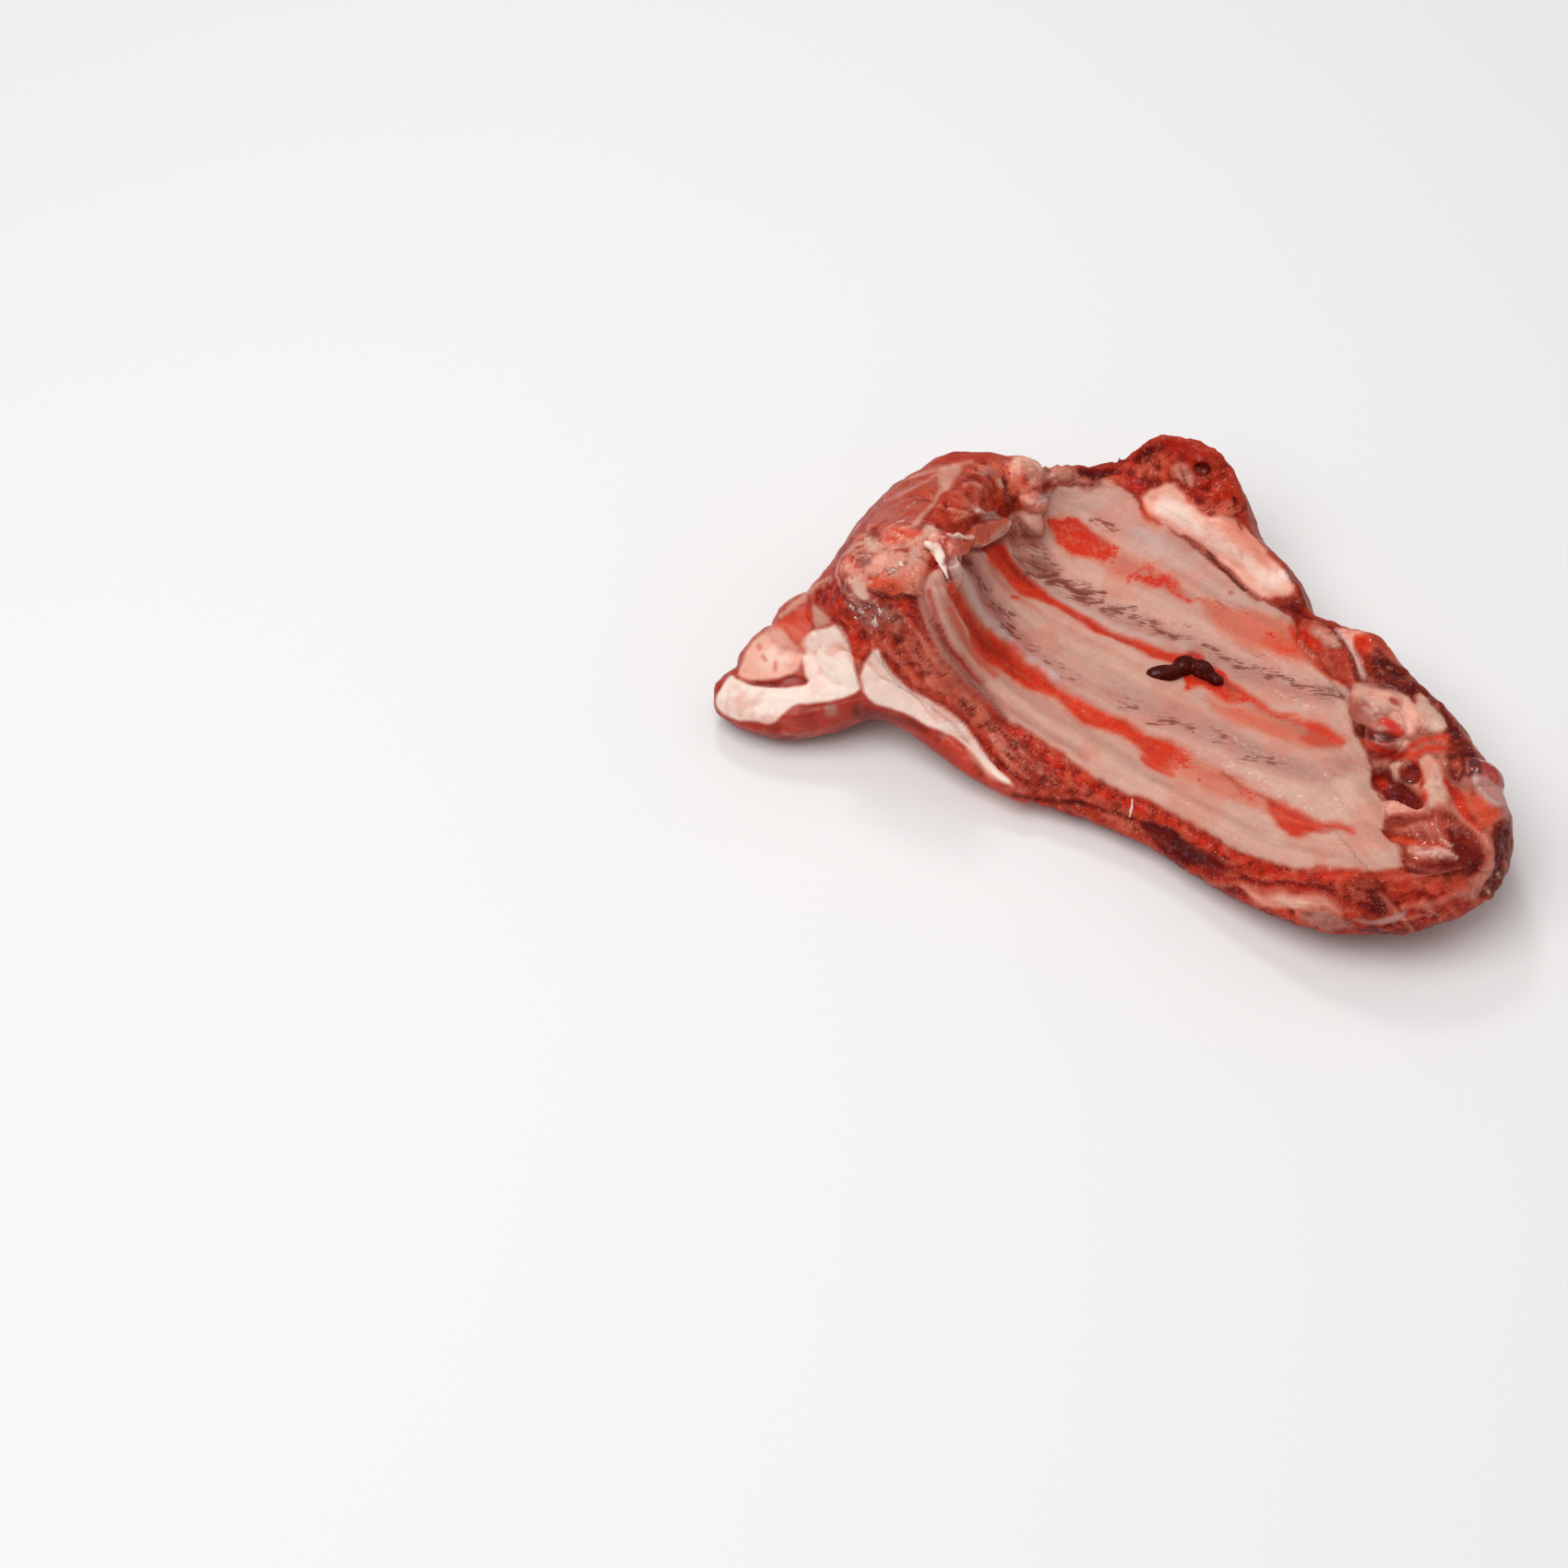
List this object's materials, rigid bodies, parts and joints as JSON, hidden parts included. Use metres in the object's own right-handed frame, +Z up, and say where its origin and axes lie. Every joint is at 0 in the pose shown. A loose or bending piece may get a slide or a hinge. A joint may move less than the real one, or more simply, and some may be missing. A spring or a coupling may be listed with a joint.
{
  "type": "raw lamb ribs",
  "caption": "Raw lamb rib slab cut off along the spine, lying on its back with the lining of the chest up.",
  "frame": {"origin": "on the flat underside, below the middle of the rib plate", "axes": "+Z up out of the hollow of the chest, +X from the spine end towards the breast end, +Y towards the far side of the slab; the ribs run 35 degrees clockwise from +X"},
  "size_m": [0.1882, 0.15, 0.0528],
  "materials": {
    "meat": "wet raw lamb: dark red cut muscle, and pink and grey lining over the ribs",
    "fat": "raw white fat with a pink tinge",
    "bone": "cut pink and orange bone with bits of fat",
    "gristle": "pale wet cartilage",
    "blood": "dark clotted blood, glossy"
  },
  "bodies": {
    "root": {"rib_slab": "meat", "fat_lobe": "fat", "chine_bone": "bone", "rib_head_fat": "fat", "breast_gristle": "gristle", "breast_tip": "gristle", "blood_clot": "blood"}
  },
  "joints": []
}
